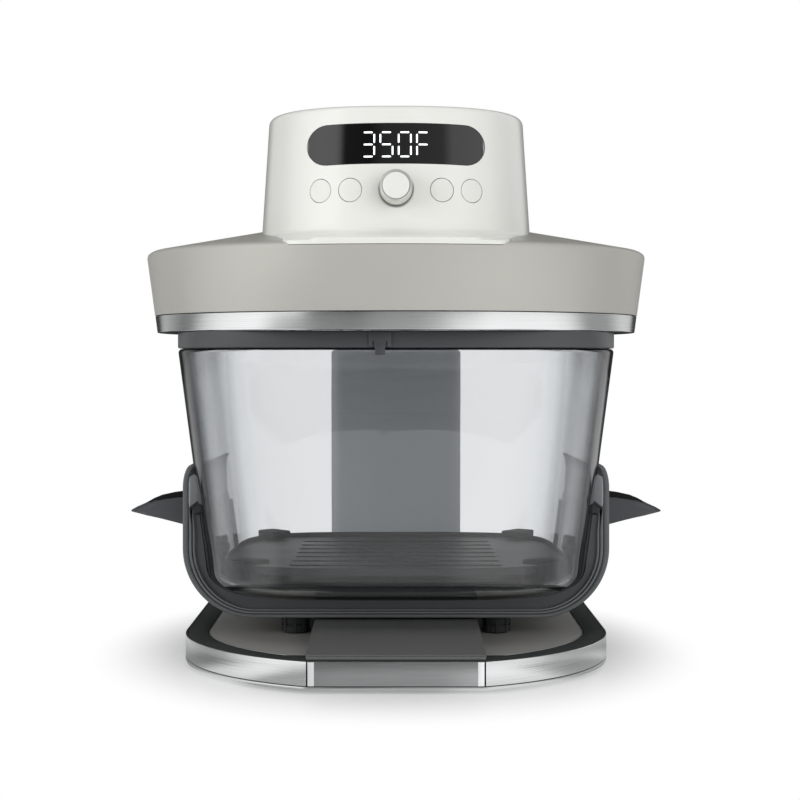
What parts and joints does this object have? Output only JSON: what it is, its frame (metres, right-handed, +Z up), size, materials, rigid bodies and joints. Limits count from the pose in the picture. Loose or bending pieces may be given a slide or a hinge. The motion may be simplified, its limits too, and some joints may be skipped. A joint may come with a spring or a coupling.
{
  "type": "countertop glass air fryer",
  "caption": "Countertop air fryer: a round heater head hinged on a rear column over a square tapered glass bowl in a slide-out cradle on a flat base.",
  "frame": {"origin": "under the middle of the bounding box, on the plane the rubber feet stand on", "axes": "+Z up, front towards -Y, the hinge of the head runs along X at the back"},
  "size_m": [0.323, 0.3504, 0.317],
  "materials": {
    "pan_plastic": "matte",
    "base_plastic": "satin",
    "satin_deck": "satin",
    "slab_plastic": "satin",
    "brushed_band": "brushed",
    "foot_rubber": "matte",
    "cast_metal": "satin",
    "column_plastic": "satin",
    "gland_rubber": "matte",
    "fastener_steel": "satin",
    "clear_glass": "clear",
    "seal_silicone": "matte",
    "cradle_plastic": "satin",
    "handle_plastic": "satin",
    "coated_plate": "non-stick coating",
    "bumper_silicone": "matte",
    "warm_grey_shell": "satin",
    "brushed_ring": "brushed",
    "housing_plastic": "matte",
    "sheet_steel": "plain sheet",
    "white_gloss": "gloss",
    "black_lens": "gloss",
    "circuit_board": "solder mask",
    "knob_seat": "satin",
    "satin_knob": "satin",
    "white_button": "gloss",
    "insulation_wool": "fibre",
    "element_sheath": "dull",
    "motor_body": "plain",
    "fan_aluminium": "plain",
    "fan_plastic": "matte"
  },
  "bodies": {
    "stand": {"base_pan": "pan_plastic", "base_cover": "base_plastic", "base_deck": "satin_deck", "centre_slab": "slab_plastic", "front_plate": "brushed_band", "steel_band_left": "brushed_band", "steel_band_right": "brushed_band", "rubber_foot_front_left": "foot_rubber", "rubber_foot_front_right": "foot_rubber", "rubber_foot_rear_left": "foot_rubber", "rubber_foot_rear_right": "foot_rubber", "column_post": "cast_metal", "column_front_cover": "column_plastic", "column_rear_cover": "column_plastic", "cord_gland": "gland_rubber", "hinge_pin": "fastener_steel", "post_screw_left": "fastener_steel", "post_screw_right": "fastener_steel"},
    "head": {"head_shroud": "warm_grey_shell", "trim_ring": "brushed_ring", "heater_housing": "housing_plastic", "chassis_plate": "sheet_steel", "hinge_arm": "cast_metal", "control_housing": "white_gloss", "display_lens": "black_lens", "display_board": "circuit_board", "control_board": "circuit_board", "rotary_encoder": "cast_metal", "knob_ring": "knob_seat", "rear_vent": "housing_plastic", "power_board": "circuit_board", "thermal_cutout": "cast_metal", "reflector": "sheet_steel", "insulation_pad": "insulation_wool", "heating_element": "element_sheath", "heater_guard": "sheet_steel", "fan_motor": "motor_body"},
    "press_shaft": {"encoder_shaft": "fastener_steel"},
    "knob": {"control_knob": "satin_knob"},
    "button_body_1": {"button_1": "white_button"},
    "button_body_2": {"button_2": "white_button"},
    "button_body_3": {"button_3": "white_button"},
    "button_body_4": {"button_4": "white_button"},
    "rotor": {"motor_shaft": "fastener_steel", "convection_fan": "fan_aluminium", "cooling_fan": "fan_plastic"},
    "container": {"glass_bowl": "clear_glass", "rim_seal": "seal_silicone", "cradle": "cradle_plastic", "handle_left": "handle_plastic", "handle_right": "handle_plastic", "cradle_foot_front_left": "foot_rubber", "cradle_foot_front_right": "foot_rubber", "cradle_foot_rear_left": "foot_rubber", "cradle_foot_rear_right": "foot_rubber"},
    "crisper": {"crisper_plate": "coated_plate", "crisper_bumper_front_left": "bumper_silicone", "crisper_bumper_front_right": "bumper_silicone", "crisper_bumper_rear_left": "bumper_silicone", "crisper_bumper_rear_right": "bumper_silicone"}
  },
  "joints": [
    {"name": "head_hinge", "type": "hinge", "parent": "stand", "child": "head", "pos_m": [0, 0.14522, 0.212], "axis": [-1, 0, 0], "range_deg": [0, 65]},
    {"name": "container_slide", "type": "slide", "parent": "stand", "child": "container", "axis": [0, -1, 0], "range_m": [0, 0.3]},
    {"name": "crisper_lift", "type": "slide", "parent": "container", "child": "crisper", "axis": [0, 0, 1], "range_m": [0, 0.12]},
    {"name": "knob_press", "type": "slide", "parent": "head", "child": "press_shaft", "axis": [0, 0.998, -0.0633], "range_m": [0, 0.0008], "stiffness_N_per_m": 1500, "springref_m": -0.0008},
    {"name": "knob_turn", "type": "hinge", "parent": "press_shaft", "child": "knob", "pos_m": [0, -0.15917, 0.2709], "axis": [0, -0.998, 0.0633], "continuous": true},
    {"name": "button_1_press", "type": "slide", "parent": "head", "child": "button_body_1", "axis": [0.443, 0.8943, -0.0633], "range_m": [0, 0.001], "stiffness_N_per_m": 900, "springref_m": -0.0008},
    {"name": "button_2_press", "type": "slide", "parent": "head", "child": "button_body_2", "axis": [0.2127, 0.9751, -0.0633], "range_m": [0, 0.001], "stiffness_N_per_m": 900, "springref_m": -0.0008},
    {"name": "button_3_press", "type": "slide", "parent": "head", "child": "button_body_3", "axis": [-0.2127, 0.9751, -0.0633], "range_m": [0, 0.001], "stiffness_N_per_m": 900, "springref_m": -0.0008},
    {"name": "button_4_press", "type": "slide", "parent": "head", "child": "button_body_4", "axis": [-0.443, 0.8943, -0.0633], "range_m": [0, 0.001], "stiffness_N_per_m": 900, "springref_m": -0.0008},
    {"name": "rotor_spin", "type": "hinge", "parent": "head", "child": "rotor", "pos_m": [0, -0.02178, 0.212], "axis": [0, 0, 1], "continuous": true}
  ]
}
